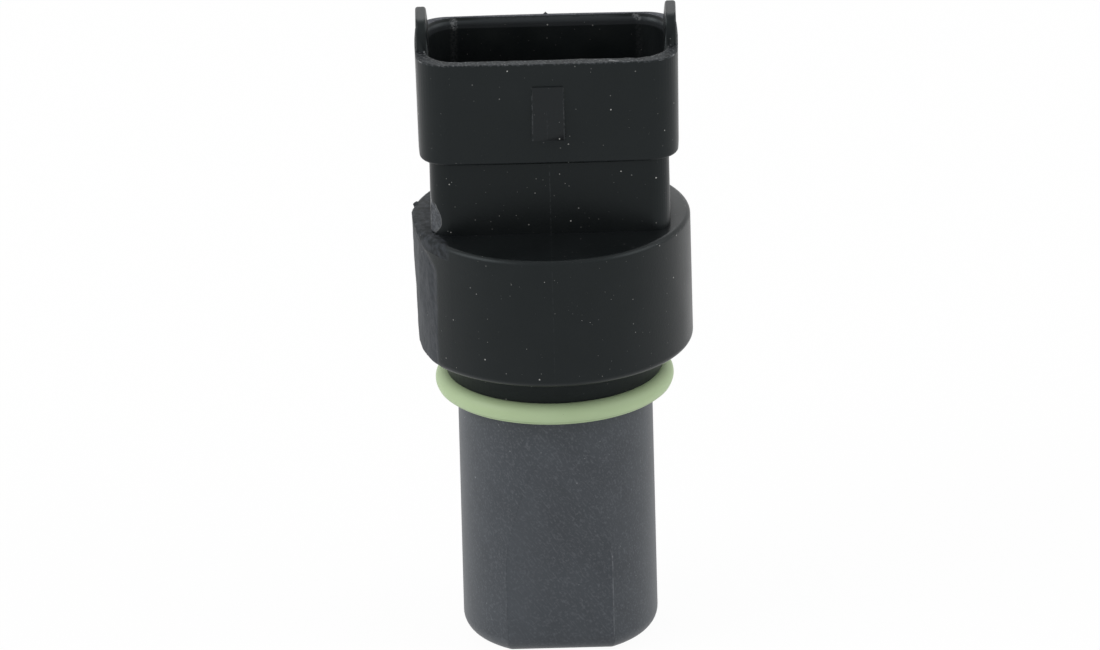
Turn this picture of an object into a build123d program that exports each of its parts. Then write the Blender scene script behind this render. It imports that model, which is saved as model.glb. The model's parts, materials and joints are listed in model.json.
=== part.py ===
from build123d import *
import math
import os

# Camshaft position sensor, in millimetres. The origin is the centre of the probe's tip face, +Z runs up the
# probe to the connector, -Y is the front with the connector's catch, and the mounting lug is at +Y.

# Probe cap, the grey shank that reaches into the engine
probe_d = 18.0
probe_length = 26.0
probe_wall = 1.3
tip_wall = 1.0
tip_round = 1.8
flat_depth = 1.5
flat_height = 10.0
flat_run_out = 11.0
flat_blend = 24.0
flat_overrun = 0.02
spigot_inset = 0.9
spigot_height = 5.5
spigot_rib = 0.45
spigot_rib_height = 0.9
spigot_rib_shares = (0.2, 0.6)

# Sealing ring
ring_section = 2.0
ring_gap = 0.02

# Housing: shoulder, collar, neck and connector shroud
shoulder_step = 1.0
shoulder_height = 2.6
collar_d = 25.8
collar_height = 12.55
collar_round_low = 0.7
collar_round_top = 0.5
neck_step_side = 1.1
neck_step_front = 0.83
neck_height = 7.1
neck_corner = 1.9
shroud_width = 24.3
shroud_depth = 13.1
shroud_height = 9.95
shroud_draft = 0.14
shroud_bow = 0.25
shroud_corner = 3.0
shroud_low_edge = 0.3
rim_edge = 0.12

# Socket in the shroud
end_wall = 1.3
back_wall = 0.95
front_wall = 1.45
socket_floor_rise = 1.4
socket_corner = 2.7
lead_in_width = 0.36
lead_in_depth = 0.65
well_inset = 1.15
well_depth = 5.6
well_corner = 1.2
well_lead = 0.5

# Guide tabs that stand on the two ends of the rim
tab_depth = 5.0
tab_rise = 2.9
tab_top = 0.95
tab_inset = 0.15
tab_round = 1.2
tab_edge = 0.25
tab_upright_share = 0.33

# Catch on the front of the shroud
catch_top_width = 2.8
catch_low_width = 3.1
catch_length = 5.0
catch_rise = 0.9
catch_top_rise = 0.12
catch_below_rim = 2.25

# Trimmed gate on the left of the collar and the neck
scar_turn = 9.0
scar_lean = 1.8
scar_depth = 0.55
scar_radius = 18.4
scoop_radius = 3.7
scoop_depth = 0.6
scoop_above_collar = 1.4

# Mounting lug and its bush
lug_out = 10.1
lug_rim = 3.5
lug_root_radius = 10.0
lug_height = 8.0
lug_edge = 0.7
lug_pocket_wall = 1.6
lug_pocket_depth = 5.2
lug_pocket_corner = 0.5
lug_pocket_end = 3.0
lug_pocket_corner_share = 0.4
lug_web = 1.6
bush_d = 10.0
bush_bore = 6.4
bush_proud = 0.1
bush_chamfer = 0.4
bush_groove = 0.4
bush_bore_chamfer = 0.2

# Terminals, stamped from one thickness of strip
blade_width = 2.8
blade_thickness = 0.8
blade_pitch = 5.0
blade_below_rim = 3.0
blade_root = 2.0
blade_tip_chamfer = 0.55
blade_tip_taper = 0.22
tail_width = 1.4
tail_pitch = 3.0
tail_length = 12.5
jog_side_drop = 1.0
jog_side_height = 4.0
jog_back_rise = 2.0
jog_back_height = 5.0
strip_bend = 0.9
tail_overlap = 0.5

# Parts inside the probe
fit = 0.08
carrier_top_gap = 3.5
shelf_room = 3.2
shelf_above_plate = 0.4
magnet_inset = 0.5
magnet_height = 5.0
magnet_chamfer = 0.3
plate_height = 1.0
chip_width = 5.2
chip_depth = 4.0
chip_height = 1.6
chip_chamfer = 0.35
lead_width = 0.45
lead_thickness = 0.3
lead_pitch = 1.27
lead_rise = 0.6
lead_lap = 5.0
lead_spread_below = 1.5
lead_spread_height = 4.0
lead_bend = 0.5
lead_slot_room = 0.6
rib_width = 0.7
rib_height = 0.6
rib_setback = 0.75
window_setback = 2.5
capacitor_length = 2.6
capacitor_height = 1.4
capacitor_thickness = 1.0
capacitor_above_lead = 2.5
capacitor_round = 0.14

# Levels and radii that follow from the sizes above
probe_r = probe_d / 2
cavity_r = probe_r - probe_wall
flat_y = -(probe_r - flat_depth)
cavity_flat_y = flat_y + probe_wall
spigot_r = probe_r - spigot_inset
spigot_top = probe_length + spigot_height
shoulder_r = probe_r + shoulder_step
collar_r = collar_d / 2
collar_low = probe_length + shoulder_height
collar_top = collar_low + collar_height
shroud_low = collar_top + neck_height
rim_z = shroud_low + shroud_height
socket_floor = shroud_low + socket_floor_rise
well_floor = socket_floor - well_depth
socket_width = shroud_width - 2 * end_wall
socket_length = shroud_depth - front_wall - back_wall
socket_y = (front_wall - back_wall) / 2
tab_root = end_wall - tab_inset
neck_width = shroud_width - 2 * neck_step_side
neck_depth = shroud_depth - 2 * neck_step_front
lug_reach = collar_r + lug_out
lug_radius = bush_d / 2 + lug_rim
blade_low = well_floor - blade_root
blade_top = rim_z - blade_below_rim
jog_side_top = blade_low - jog_side_drop
jog_side_low = jog_side_top - jog_side_height
jog_back_low = spigot_top + jog_back_rise
jog_back_top = jog_back_low + jog_back_height
shelf_back = cavity_r - shelf_room
magnet_d = 2 * (shelf_back - magnet_inset)
tail_y = shelf_back + blade_thickness / 2
carrier_top = spigot_top - carrier_top_gap
tail_low = carrier_top - tail_length
chip_top = tip_wall + chip_height
magnet_top = chip_top + magnet_height
plate_top = magnet_top + plate_height
shelf_low = plate_top + shelf_above_plate
lead_y = shelf_back + blade_thickness + lead_thickness / 2
lead_top = tail_low + lead_lap
lead_slot = 2 * lead_pitch + lead_width + 2 * lead_slot_room
lead_spread_top = tail_low - lead_spread_below
lead_spread_low = lead_spread_top - lead_spread_height
capacitor_low = lead_top + capacitor_above_lead
lead_in_low = rim_z - lead_in_depth
buried = 1.0
far = 60.0

STAND = (Align.CENTER, Align.CENTER, Align.MIN)


def stand(shape, z):
    """A shape that stands on the level z."""
    return Pos(0, 0, z) * shape


def rod(radius, low, top, y=0.0):
    """An upright round bar between two levels."""
    return Pos(0, y, low) * Cylinder(radius, top - low, align=STAND)


def block(width, depth, height, x, y, z):
    """A block centred on x and y that stands on z."""
    return Pos(x, y, z) * Box(width, depth, height, align=STAND)


def rounded_prism(width, depth, corner, low, top, y=0.0):
    """An upright block with rounded corners between two levels."""
    sketch = RectangleRounded(width, depth, corner)
    return Pos(0, y, low) * extrude(sketch, amount=top - low)


def rounded_taper(low_size, low_corner, top_size, top_corner, low, top, y=0.0):
    """A rounded block whose section changes evenly from its foot to its top."""
    foot = Pos(0, y, low) * RectangleRounded(*low_size, low_corner)
    head = Pos(0, y, top) * RectangleRounded(*top_size, top_corner)
    return loft([foot, head])


def across(profile, reach):
    """A profile drawn as (y, z), carried to both sides along X."""
    return extrude(Plane.YZ * profile, amount=reach, both=True)


def through(profile, reach):
    """An outline drawn as (x, z), carried to both sides along Y."""
    return extrude(Plane.XZ * profile, amount=reach, both=True)


def strip(points, width, bend):
    """A strip of even width along a line with rounded bends."""
    return trace(FilletPolyline(*points, radius=bend), line_width=width)


def edges_at(shape, z):
    """The edges that lie on the level z."""
    return shape.edges().filter_by_position(Axis.Z, z - 0.001, z + 0.001)


def flat_cutter():
    """The sensing flat: level with the axis near the tip, then a long ramp out to the shank's round."""
    outside = -probe_d
    foot = (flat_y, -buried)
    ramp_end = (-probe_r - flat_overrun, flat_height + flat_run_out)
    line = FilletPolyline(foot, (flat_y, flat_height), ramp_end, radius=flat_blend)
    back = Polyline(ramp_end, (outside, ramp_end[1]), (outside, -buried), foot)
    return across(make_face([line, back]), probe_d)


def d_section(radius, flat):
    """A round section with a flat on its front side."""
    front = Pos(0, flat - probe_d / 2) * Rectangle(2 * probe_d, probe_d)
    return Circle(radius) - front


def cap_body():
    """The probe cap without its cavity, with the spigot that the housing is moulded round."""
    shank = rod(probe_r, 0, probe_length) - flat_cutter()
    shank = fillet(edges_at(shank, 0), tip_round)
    spigot = rod(spigot_r, probe_length, spigot_top)
    for share in spigot_rib_shares:
        low = probe_length + share * spigot_height
        spigot += rod(spigot_r + spigot_rib, low, low + spigot_rib_height)
    return shank + spigot


def probe_cap():
    cavity = extrude(d_section(cavity_r, cavity_flat_y), amount=spigot_top - tip_wall)
    return cap_body() - stand(cavity, tip_wall)


def o_ring():
    """The ring sits on the shank, against the underside of the shoulder."""
    radius = ring_section / 2
    z = probe_length - radius - ring_gap
    return Pos(0, 0, z) * Torus(probe_r + radius + ring_gap, radius)


def collar():
    drum = rod(collar_r, collar_low, collar_top)
    drum = fillet(edges_at(drum, collar_top), collar_round_top)
    drum = fillet(edges_at(drum, collar_low), collar_round_low)
    return drum


def collar_scar():
    """The shallow cut on the collar's side where the gate was trimmed off, deepest at its foot."""
    centre = scar_radius - (collar_r - scar_depth)
    tool = Pos(-collar_r, 0, 0) * Box(collar_r, collar_d, far)
    tool -= Pos(centre, 0, 0) * Cylinder(scar_radius, far)
    return Rot(0, 0, scar_turn) * (Pos(0, 0, collar_low) * (Rot(0, -scar_lean, 0) * tool))


def neck_scoop():
    """A shallow scoop in the neck's lower left corner, cut by the same trimming."""
    corner_x = neck_width / 2 - neck_corner
    corner_y = neck_depth / 2 - neck_corner
    centre = neck_corner - scoop_depth + scoop_radius
    tool = Rot(90, 0, 0) * Cylinder(scoop_radius, collar_d)
    tool = Rot(0, 0, 45) * (Pos(-centre, 0, 0) * tool)
    return Pos(-corner_x, -corner_y, collar_top + scoop_above_collar) * tool


def neck():
    neck_foot = collar_top - buried
    neck_head = shroud_low + buried
    body = rounded_prism(neck_width, neck_depth, neck_corner, neck_foot, neck_head)
    return body - neck_scoop()


def bowed_outline(width, depth, corner):
    """The shroud's plan: four sides that bow out a little, with rounded corners between them."""
    x, y = width / 2, depth / 2
    corner_x, corner_y = x - shroud_bow, y - shroud_bow
    front = ThreePointArc((-corner_x, -corner_y), (0, -y), (corner_x, -corner_y))
    right = ThreePointArc((corner_x, -corner_y), (x, 0), (corner_x, corner_y))
    back = ThreePointArc((corner_x, corner_y), (0, y), (-corner_x, corner_y))
    left = ThreePointArc((-corner_x, corner_y), (-x, 0), (-corner_x, -corner_y))
    plan = make_face([front, right, back, left])
    return fillet(plan.vertices(), corner)


def shroud():
    low_size = (shroud_width - 2 * shroud_draft, shroud_depth - 2 * shroud_draft)
    foot = bowed_outline(*low_size, shroud_corner - shroud_draft)
    head = bowed_outline(shroud_width, shroud_depth, shroud_corner)
    body = loft([stand(foot, shroud_low), stand(head, rim_z)])
    body = fillet(edges_at(body, shroud_low), shroud_low_edge)
    return fillet(edges_at(body, rim_z), rim_edge)


def socket():
    """The plug's room: a lead-in at the rim, the wide socket, and the narrower well round the pins."""
    size = (socket_width, socket_length)
    mouth = (socket_width + 2 * lead_in_width, socket_length + 2 * lead_in_width)
    wide = rounded_prism(*size, socket_corner, socket_floor, rim_z, socket_y)
    mouth_corner = socket_corner + lead_in_width
    lead = rounded_taper(size, socket_corner, mouth, mouth_corner, lead_in_low, rim_z, socket_y)
    well_size = (socket_width - 2 * well_inset, socket_length - 2 * well_inset)
    well = rounded_prism(*well_size, well_corner, well_floor, socket_floor, socket_y)
    ledge_size = (well_size[0] + 2 * well_lead, well_size[1] + 2 * well_lead)
    ledge_corner = well_corner + well_lead
    ledge_low = socket_floor - well_lead
    ledge = rounded_taper(
        well_size, well_corner, ledge_size, ledge_corner, ledge_low, socket_floor, socket_y
    )
    return wide + lead + well + ledge


def guide_tab():
    """The tab on the right end, its inner face flush with the socket's wall, its top rounded."""
    outer = shroud_width / 2 - tab_inset
    top = rim_z + tab_rise
    profile = Polygon(
        (outer - tab_root, lead_in_low),
        (outer, lead_in_low),
        (outer, top),
        (outer - tab_top, top),
        (outer - tab_root, rim_z + tab_upright_share * tab_rise),
        align=None,
    )
    tab = through(profile, tab_depth / 2)
    ends = edges_at(tab, top).filter_by(Axis.X)
    tab = fillet(ends, tab_round)
    sides = edges_at(tab, top).filter_by(Axis.Y)
    return fillet(sides, tab_edge)


def catch():
    """The wedge that the plug's latch snaps over, with drafted sides."""
    wall = shroud_depth / 2 - shroud_draft
    top = rim_z - catch_below_rim
    root = front_wall / 2

    def slice_at(z, width, rise):
        depth = root + rise
        return Pos(0, -(wall + rise - depth / 2), z) * Rectangle(width, depth)

    low = slice_at(top - catch_length, catch_low_width, catch_rise)
    high = slice_at(top, catch_top_width, catch_top_rise + shroud_draft)
    return loft([low, high])


def lug_outline(inset=0.0):
    """The lug's plan: its round end and the two tangents that run from it towards the collar."""
    root = lug_root_radius - inset
    end = lug_radius - inset
    rise = (root - end) / lug_reach
    side = math.sqrt(1 - rise * rise)
    near = (root * side, root * rise)
    away = (end * side, lug_reach + end * rise)
    web = Polygon(near, away, (-away[0], away[1]), (-near[0], near[1]), align=None)
    return web + Pos(0, lug_reach) * Circle(end)


def lug():
    """The mounting lug at the back, cored out on both sides of a web between bush and collar."""
    body = stand(extrude(lug_outline(), amount=lug_height), collar_low)
    body = fillet(edges_at(body, collar_low + lug_height), lug_edge)
    boss = Pos(0, lug_reach) * Circle(bush_d / 2 + lug_pocket_wall)
    drum = Circle(collar_r + lug_pocket_wall)
    end = Pos(0, lug_reach + far / 2 - lug_pocket_end) * Rectangle(far, far)
    room = lug_outline(lug_pocket_wall) - boss - drum - end - Rectangle(lug_web, far * 2)
    pocket_low = collar_low + lug_height - lug_pocket_depth
    narrowest = lug_out - bush_d / 2 - 2 * lug_pocket_wall
    corner = min(lug_pocket_corner, lug_pocket_corner_share * narrowest)
    for face in room.faces():
        pocket = stand(extrude(face, amount=lug_height), pocket_low)
        body -= fillet(pocket.edges().filter_by(Axis.Z), corner)
    return body


def bush_outside(top):
    """The bush's outside with its groove, up to the level given; the lug is moulded round it."""
    middle = collar_low + lug_height / 2
    groove = rod(bush_d, middle - bush_groove, middle + bush_groove, lug_reach)
    groove -= rod(bush_d / 2 - bush_groove, collar_low, top, lug_reach)
    return rod(bush_d / 2, collar_low, top, lug_reach) - groove


def bush():
    """The steel compression bush, keyed in the lug by its groove."""
    top = collar_low + lug_height + bush_proud
    body = bush_outside(top)
    body = chamfer(edges_at(body, top) + edges_at(body, collar_low), bush_chamfer)
    body -= rod(bush_bore / 2, collar_low, top, lug_reach)
    rims = body.edges().filter_by(GeomType.CIRCLE)
    rims = [edge for edge in rims if abs(edge.radius - bush_bore / 2) < 0.001]
    return chamfer(rims, bush_bore_chamfer)


def terminal(place):
    """One blade terminal; place is -1, 0 or 1 along the row."""
    blade_x = place * blade_pitch
    tail_x = place * tail_pitch
    side_line = [
        (socket_y, blade_top),
        (socket_y, jog_back_top),
        (tail_y, jog_back_low),
        (tail_y, tail_low),
    ]
    side = across(strip(side_line, blade_thickness, strip_bend), far)
    blade = Pos(blade_x, (blade_low + blade_top) / 2) * Rectangle(blade_width, blade_top - blade_low)
    tip = blade.vertices().sort_by(Axis.Y)[-2:]
    blade = chamfer(tip, blade_tip_chamfer)
    foot = (blade_x, blade_low + tail_overlap)
    if place:
        line = [foot, (blade_x, jog_side_top), (tail_x, jog_side_low), (tail_x, tail_low)]
        tail = strip(line, tail_width, strip_bend)
    else:
        tail = Pos(0, (foot[1] + tail_low) / 2) * Rectangle(tail_width, foot[1] - tail_low)
    body = side & through(blade + tail, far)
    tip_edges = edges_at(body, blade_top).filter_by(Axis.X)
    return chamfer(tip_edges, blade_tip_taper)


def hall_chip():
    body = block(chip_width, chip_depth, chip_height, 0, 0, tip_wall)
    upright = body.edges().filter_by(Axis.Z).sort_by(Axis.Y)[:2]
    return chamfer(upright, chip_chamfer)


def hall_lead(place):
    """One lead of the Hall chip, bent up the back of the carrier to lie on its terminal."""
    low_z = tip_wall + lead_rise
    line = [(chip_depth / 2, low_z), (lead_y, low_z), (lead_y, lead_top)]
    side = across(strip(line, lead_thickness, lead_bend), far)
    low_x = place * lead_pitch
    top_x = place * tail_pitch
    if place:
        path = [(low_x, 0), (low_x, lead_spread_low), (top_x, lead_spread_top), (top_x, lead_top)]
        front = strip(path, lead_width, lead_bend)
    else:
        front = Pos(0, lead_top / 2) * Rectangle(lead_width, lead_top)
    return side & through(front, far)


def bias_magnet():
    body = rod(magnet_d / 2, chip_top, magnet_top)
    return chamfer(body.edges().filter_by(GeomType.CIRCLE), magnet_chamfer)


def flux_plate():
    return rod(magnet_d / 2, magnet_top, plate_top)


def carrier():
    """The moulded insert that holds magnet, chip and the terminals' tails inside the cap."""
    section = d_section(cavity_r - fit, cavity_flat_y + fit)
    body = stand(extrude(section, amount=carrier_top - tip_wall), tip_wall)
    body -= rod(magnet_d / 2 + fit, chip_top, plate_top)
    body -= block(chip_width + 2 * fit, chip_depth + 2 * fit, chip_height, 0, 0, tip_wall)
    back = far / 2
    body -= block(far, back, far, 0, shelf_back + back / 2, shelf_low)
    channel_y = lead_y - lead_thickness / 2 - fit
    body -= block(lead_slot, back, far, 0, channel_y + back / 2, tip_wall)
    body -= block(lead_slot, back, lead_rise * 2, 0, back / 2, tip_wall)
    rib_low = tail_low + rib_setback
    rib_top = capacitor_low - rib_setback
    for side in (-1, 1):
        x = side * tail_pitch / 2
        rib = block(rib_width, rib_height, rib_top - rib_low, x, shelf_back + rib_height / 2, rib_low)
        body += rib
    window_low = plate_top + window_setback
    window_height = carrier_top - window_setback - window_low
    return body - block(magnet_d, magnet_d / 2, window_height, 0, cavity_flat_y, window_low)


def capacitor(side):
    y = shelf_back + blade_thickness + capacitor_thickness / 2
    body = block(
        capacitor_length,
        capacitor_thickness,
        capacitor_height,
        side * tail_pitch / 2,
        y,
        capacitor_low,
    )
    return fillet(body.edges(), capacitor_round)


def potting(terminals):
    """The resin that closes the mouth of the cap round the terminals' tails."""
    section = d_section(cavity_r, cavity_flat_y)
    body = stand(extrude(section, amount=spigot_top - carrier_top), carrier_top)
    for piece in terminals:
        body -= piece
    return body


def housing(terminals):
    """The overmoulded body: shoulder, collar, lug, neck and shroud in one moulding."""
    body = rod(shoulder_r, probe_length, collar_low + buried)
    body += collar() - collar_scar()
    body += neck()
    body += shroud()
    body += catch()
    body += lug()
    body -= socket()
    tab = guide_tab()
    body += tab + mirror(tab, about=Plane.YZ)
    body -= bush_outside(far)
    body -= cap_body()
    for piece in terminals:
        body -= piece
    return body


def main():
    terminals = {
        "terminal_supply": terminal(-1),
        "terminal_signal": terminal(0),
        "terminal_ground": terminal(1),
    }
    nodes = {
        "housing": housing(terminals.values()),
        "probe_cap": probe_cap(),
        "o_ring": o_ring(),
        "mounting_bush": bush(),
        "element_carrier": carrier(),
        "hall_chip": hall_chip(),
        "hall_lead_supply": hall_lead(-1),
        "hall_lead_signal": hall_lead(0),
        "hall_lead_ground": hall_lead(1),
        "bias_magnet": bias_magnet(),
        "flux_plate": flux_plate(),
        "supply_capacitor": capacitor(-1),
        "signal_capacitor": capacitor(1),
        "potting_seal": potting(terminals.values()),
    }
    nodes.update(terminals)
    os.makedirs("parts", exist_ok=True)
    for name, shape in nodes.items():
        export_step(shape, os.path.join("parts", name + ".step"))


main()
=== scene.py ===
import bmesh
import bpy
import json
import math
from mathutils import Matrix, Vector, noise

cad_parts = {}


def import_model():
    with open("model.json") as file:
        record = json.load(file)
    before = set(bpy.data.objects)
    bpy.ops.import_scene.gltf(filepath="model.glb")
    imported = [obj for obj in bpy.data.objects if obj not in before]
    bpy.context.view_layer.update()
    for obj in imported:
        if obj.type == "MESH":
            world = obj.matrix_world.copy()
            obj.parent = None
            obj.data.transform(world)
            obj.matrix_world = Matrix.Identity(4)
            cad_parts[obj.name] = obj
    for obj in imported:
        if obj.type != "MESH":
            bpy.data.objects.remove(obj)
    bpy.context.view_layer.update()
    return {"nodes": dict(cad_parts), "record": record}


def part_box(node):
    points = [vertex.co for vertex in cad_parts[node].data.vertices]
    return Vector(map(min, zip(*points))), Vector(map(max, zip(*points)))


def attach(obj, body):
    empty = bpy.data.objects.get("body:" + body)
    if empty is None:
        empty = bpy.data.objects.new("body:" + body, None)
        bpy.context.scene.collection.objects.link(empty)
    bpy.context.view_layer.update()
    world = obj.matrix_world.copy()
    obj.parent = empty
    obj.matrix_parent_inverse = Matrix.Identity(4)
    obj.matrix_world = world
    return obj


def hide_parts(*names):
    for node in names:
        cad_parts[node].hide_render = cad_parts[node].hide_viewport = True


# Camshaft position sensor: the looks of its mouldings, seal, bush and terminals, and its studio
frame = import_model()
nodes = frame["nodes"]
MM = 0.001

# Places on the part, in millimetres, read from the frame where it shows them
housing_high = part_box("housing")[1] / MM
ring_low, ring_high = (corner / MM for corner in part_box("o_ring"))
cap_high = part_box("probe_cap")[1] / MM
collar_r = housing_high.x
probe_r = cap_high.x
ring_r = (ring_high.z - ring_low.z) / 2
ring_z = (ring_high.z + ring_low.z) / 2
tab_rise = 2.9
rim_z = housing_high.z - tab_rise
shroud_low = rim_z - 9.95
collar_top = shroud_low - 7.1
collar_low = collar_top - 12.55
collar_edge = 0.5
collar_foot_round = 0.7
lug_start = 9.0
shroud_half_depth = 6.55
neck_half_width = 11.05
neck_half_depth = 5.72
neck_corner = 1.9
mouth_half_width = 11.2
mouth_half_depth = 5.71
mouth_corner = 3.06
mouth_y = 0.25
catch_half_width = 1.47
catch_top = rim_z - 2.25
catch_low = catch_top - 5.0
catch_step_x = -0.11
catch_step_top = catch_top - 2.25

# The trimmed gate on the left: where its face ends at the front and at the back, and the burr above it
scar_front = -7.3
scar_back = 4.2
scar_arch_z = collar_top - 3.2
scar_arch = 0.55
scar_top = collar_top - 1.3
least_cut = 0.1
collar_skin_r = 11.5
burr_y = 2.9
burr_rise = 0.26
burr_width = 0.2
# the ends of a black stroke of painted shade in the small notch at the top of the trimmed face
notch_shade_start = Vector((-11.66, -5.45, scar_top - 0.03))
notch_shade_end = Vector((-10.4, -7.55, scar_top + 0.05))
scrape_facing = Vector((-0.898, -0.441, 0))
scrape_reach = 11.81

# The nick that the same cut left low on the neck's corner, round which the neck's sides meet
neck_axis = Vector((neck_corner - neck_half_width, neck_corner - neck_half_depth, 0))
nick_z = collar_top + 1.5
nick_depth = 0.31
nick_above = 1.7
nick_below = 1.25

# What the mould halves left on the rim: one burr at the back and uneven flash at the front
back_burr_rise = 0.2
back_burr_width = 0.12
front_flash = 0.04

# The worn right-hand edge of the flat on the probe, from its foot up to where the flat runs out
flat_edge = (
    Vector((4.9, -7.55, 1.5)),
    Vector((4.9, -7.55, 9.6)),
    Vector((4.4, -7.85, 11.8)),
    Vector((3.5, -8.29, 13.8)),
    Vector((2.7, -8.58, 15.3)),
)
flat_edge_shares = (0.34, 0.2, 0.12, 0.08)

# Pale marks, each with its two ends, its width and its share of the mark's colour; the last four, in the
# socket's corners, are painted highlights
pale_marks_and_glints = (
    (Vector((-11.95, -4.5, rim_z - 0.05)), Vector((-11.45, -5.45, rim_z - 0.05)), 0.13, 0.8),
    (Vector((9.8, -6.5, rim_z - 0.05)), Vector((11.2, -5.75, rim_z - 0.05)), 0.13, 0.6),
    (Vector((11.2, -5.75, rim_z - 0.05)), Vector((12.0, -4.4, rim_z - 0.05)), 0.12, 0.7),
    (Vector((5.8, -5.9, rim_z)), Vector((6.5, -6.2, rim_z)), 0.2, 0.6),
    (Vector((-11.25, -2.6, rim_z)), Vector((-10.85, -3.3, rim_z)), 0.14, 0.8),
    (Vector((-11.2, -3.3, rim_z)), Vector((-11.2, -1.2, rim_z)), 0.1, 0.25),
    (Vector((11.2, -3.0, rim_z)), Vector((11.2, -0.8, rim_z)), 0.1, 0.25),
    (Vector((-11.07, -3.9, collar_top + 4.5)), Vector((-10.95, -4.45, collar_top + 2.9)), 0.13, 0.7),
    (Vector((-10.68, -4.95, collar_top + 2.4)), Vector((-10.6, -5.0, collar_top + 2.3)), 0.16, 0.7),
    (Vector((-10.5, -5.1, collar_top + 1.75)), Vector((-10.42, -5.15, collar_top + 1.7)), 0.15, 0.7),
    # painted highlights: a glint where each socket corner starts to curve, with a faint streak below it
    (Vector((-8.5, 5.8, rim_z - 0.4)), Vector((-8.5, 5.7, rim_z - 0.7)), 0.5, 0.42),
    (Vector((-8.5, 5.6, rim_z - 0.8)), Vector((-8.5, 5.5, rim_z - 4.6)), 0.5, 0.05),
    (Vector((8.25, 5.9, rim_z - 0.15)), Vector((8.6, 5.8, rim_z - 0.45)), 0.36, 0.32),
    (Vector((8.55, 5.6, rim_z - 0.8)), Vector((8.55, 5.5, rim_z - 4.0)), 0.45, 0.025),
)

# Colours that several marks share
black = (0.0, 0.0, 0.0, 1)
# pale grey of stress-whitening, also the colour of the painted highlights in the socket's corners
pale_wear_and_glint = (0.33, 0.34, 0.35, 1)
dust_colour = (0.5, 0.5, 0.48, 1)

# Soft lamps: name, azimuth and elevation in degrees, distance and size in metres, power in watts
softboxes = (
    ("left softbox", -70, 30, 0.9, 0.6, 4.2),
    ("right softbox", 78, 28, 0.9, 0.6, 2.6),
    ("back softbox", 180, 55, 1.0, 0.8, 4.0),
)

# The photograph's view
photo_width = 1100
photo_scale = 10.81
camera_distance = 2.5
camera_elevation = math.radians(21.65)
camera_roll = math.radians(-1.49)
camera_target = Vector((-0.323, 0, 29.824)) * MM


# Pieces


def piece(name, body, replaced=None):
    """Makes a finished bmesh an object of the part."""
    mesh = bpy.data.meshes.new(name)
    body.to_mesh(mesh)
    body.free()
    made = bpy.data.objects.new(name, mesh)
    bpy.context.scene.collection.objects.link(made)
    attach(made, "root")
    if replaced:
        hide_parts(replaced)
    return made


def shade(made, sharp_angle):
    """Smooth shading that keeps edges sharper than the angle, with flats left flat."""
    mesh = made.data
    mesh.shade_smooth()
    mesh.set_sharp_from_angle(angle=math.radians(sharp_angle))
    weighted = made.modifiers.new("flat faces stay flat", "WEIGHTED_NORMAL")
    weighted.keep_sharp = True


def flatten_lug(made):
    """Shades the lug's level faces flat, since its hole and pockets leave them in thin triangles."""
    for face in made.data.polygons:
        level = face.normal.z > 0.99999 and face.center.z < (collar_top - 1) * MM
        if level and face.center.y > lug_start * MM:
            face.use_smooth = False


def node_copy(node):
    """A CAD node's mesh with its loose triangles merged."""
    body = bmesh.new()
    body.from_mesh(nodes[node].data)
    bmesh.ops.remove_doubles(body, verts=body.verts, dist=0.001 * MM)
    return body


def near(face, low, high):
    """True if the face's own box reaches into the box between two corners."""
    for axis in range(3):
        places = [vert.co[axis] for vert in face.verts]
        if max(places) < low[axis] or min(places) > high[axis]:
            return False
    return True


def with_edges(faces):
    """The faces with their edges and corners, as a cut needs them."""
    geom = set(faces)
    for face in faces:
        geom.update(face.verts)
        geom.update(face.edges)
    return list(geom)


def cut(body, geom, axis, place):
    """Cuts faces with a plane across an axis, and gives them back with the new ones."""
    point, normal = Vector((0, 0, 0)), Vector((0, 0, 0))
    point[axis], normal[axis] = place, 1
    made = bmesh.ops.bisect_plane(body, geom=geom, dist=0.002 * MM, plane_co=point, plane_no=normal)
    return made["geom"]


def within_box(place, low, high):
    return all(low[axis] <= place[axis] <= high[axis] for axis in range(3))


def score(body, low, high, steps):
    """Cuts faces along a box's sides, then those inside it at a step for each axis, in millimetres."""
    low, high = low * MM, high * MM
    geom = with_edges([face for face in body.faces if near(face, low, high)])
    for axis in range(3):
        for side in (low, high):
            geom = cut(body, geom, axis, side[axis])
    slack = Vector((1, 1, 1)) * 0.003 * MM
    low_slack, high_slack = low - slack, high + slack
    inside = [face for face in body.faces if within_box(face.calc_center_bounds(), low_slack, high_slack)]
    geom = with_edges(inside)
    for axis, step in enumerate(steps):
        if not step:
            continue
        count = max(1, round((high[axis] - low[axis]) / (step * MM)))
        for number in range(1, count):
            geom = cut(body, geom, axis, low[axis] + (high[axis] - low[axis]) * number / count)


def fade(value, start, end):
    """0 before start, 1 after end, and smooth between them."""
    share = min(1, max(0, (value - start) / (end - start)))
    return share * share * (3 - 2 * share)


def push(body, amount):
    """Moves each vertex along its normal by what the function amount(place in millimetres) gives."""
    body.normal_update()
    moves = []
    for vert in body.verts:
        height = amount(vert.co / MM)
        if height:
            moves.append((vert, vert.normal * height * MM))
    for vert, move in moves:
        vert.co += move


def torn(place):
    """How far the trimmed face stands out at a place: a slow wave, with slanting tear marks on it."""
    wave = noise.noise(place * 0.42 + Vector((3, 7, 1)))
    slant = place.y + 0.6 * place.z
    tear = noise.noise(Vector((place.x * 1.5, slant * 1.5, place.z * 0.7)))
    return 0.08 * wave + 0.02 * tear


def scar_front_at(z):
    """Where the trimmed face ends at the front, which is drawn back in an arch under the collar's top."""
    return scar_front + scar_arch * max(0, z - scar_arch_z) ** 2


def round_r(z):
    """The collar's radius at a level where nothing was trimmed off."""
    low = collar_low + collar_foot_round - z
    high = z - collar_top + collar_edge
    if low > 0:
        return collar_r - collar_foot_round + math.sqrt(max(0, collar_foot_round**2 - low**2))
    if high > 0:
        return collar_r - collar_edge + math.sqrt(max(0, collar_edge**2 - high**2))
    return collar_r


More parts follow.
